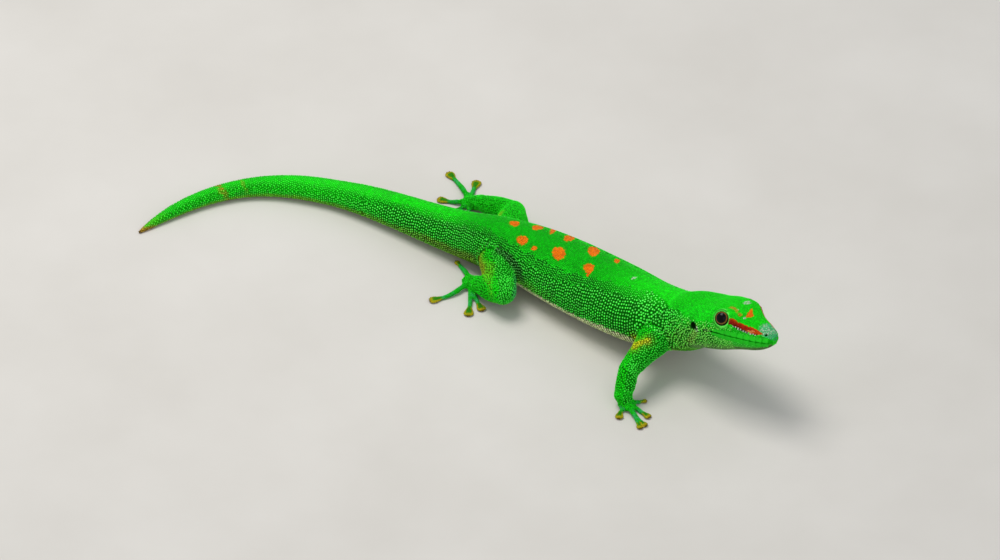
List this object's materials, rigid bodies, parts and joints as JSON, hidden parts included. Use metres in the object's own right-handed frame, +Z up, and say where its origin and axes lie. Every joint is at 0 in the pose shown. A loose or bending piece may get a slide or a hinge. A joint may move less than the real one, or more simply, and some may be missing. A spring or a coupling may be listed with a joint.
{
  "type": "madagascar giant day gecko",
  "caption": "Life-size still model of a Madagascar giant day gecko, standing with its head raised and its tail laid in a curve",
  "frame": {"origin": "Centre of the bounding box on the floor plane that the feet, belly and tail rest on", "axes": "+Z up; +X is the longest extent, the way the animal faces at about 45 degrees between +X and -Y, with its tail towards -X"},
  "size_m": [0.2198, 0.1378, 0.0398],
  "materials": {
    "skin": "finely scaled, semi-matte",
    "eye": "wet gloss"
  },
  "bodies": {
    "root": {"head": "skin", "neck": "skin", "torso": "skin", "tail_base": "skin", "tail_mid": "skin", "tail_fore": "skin", "tail_tip": "skin", "eye_left": "eye", "eye_right": "eye", "foreleg_left_upper": "skin", "foreleg_left_lower": "skin", "foreleg_left_foot": "skin", "foreleg_right_upper": "skin", "foreleg_right_lower": "skin", "foreleg_right_foot": "skin", "hindleg_left_upper": "skin", "hindleg_left_lower": "skin", "hindleg_left_foot": "skin", "hindleg_right_upper": "skin", "hindleg_right_lower": "skin", "hindleg_right_foot": "skin"}
  },
  "joints": []
}
